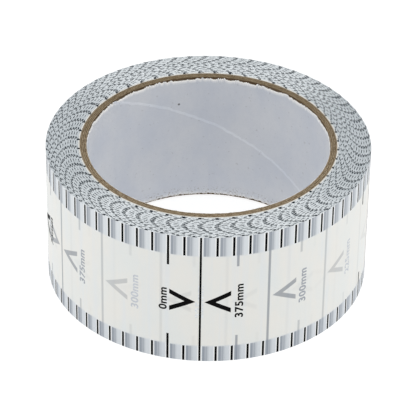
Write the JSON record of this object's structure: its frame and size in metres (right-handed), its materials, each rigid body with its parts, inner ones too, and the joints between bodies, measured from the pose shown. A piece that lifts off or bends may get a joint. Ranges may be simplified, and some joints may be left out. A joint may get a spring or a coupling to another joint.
{
  "type": "printed measuring tape roll",
  "caption": "Roll of adhesive gauge tape printed with a millimetre scale, wound on a cardboard core; its free end peels away from the roll.",
  "frame": {"origin": "centre of the roll's bottom face, on the core's axis", "axes": "+Z along the core's axis, towards the top face; -Y faces the line of the scale's 375 mm and 0 mm marks"},
  "size_m": [0.1024, 0.1023, 0.047],
  "materials": {
    "liner_paper": "matt grey-white paper",
    "kraft_board": "rough brown kraft board",
    "tape_film": "satin white film with black print"
  },
  "bodies": {
    "roll": {"core_liner": "liner_paper", "core_ply_1": "kraft_board", "core_ply_2": "kraft_board", "core_ply_3": "kraft_board", "core_ply_4": "kraft_board", "tape_pack": "tape_film", "tape_outer_turn": "tape_film"},
    "free_end_1": {"tape_end_1": "tape_film"},
    "free_end_2": {"tape_end_2": "tape_film"},
    "free_end_3": {"tape_end_3": "tape_film"}
  },
  "joints": [
    {"name": "peel_1", "type": "hinge", "parent": "roll", "child": "free_end_1", "pos_m": [0.04958, 0.01278, 0.0235], "axis": [0, 0, -1], "range_deg": [0, 45]},
    {"name": "peel_2", "type": "hinge", "parent": "free_end_1", "child": "free_end_2", "pos_m": [0.04378, 0.02655, 0.0235], "axis": [0, 0, -1], "range_deg": [0, 27]},
    {"name": "peel_3", "type": "hinge", "parent": "free_end_2", "child": "free_end_3", "pos_m": [0.03425, 0.03807, 0.0235], "axis": [0, 0, -1], "range_deg": [0, 18]}
  ],
  "couplings": [
    {"joint": "peel_2", "follows": "peel_1", "ratio": 0.6},
    {"joint": "peel_3", "follows": "peel_1", "ratio": 0.4}
  ]
}
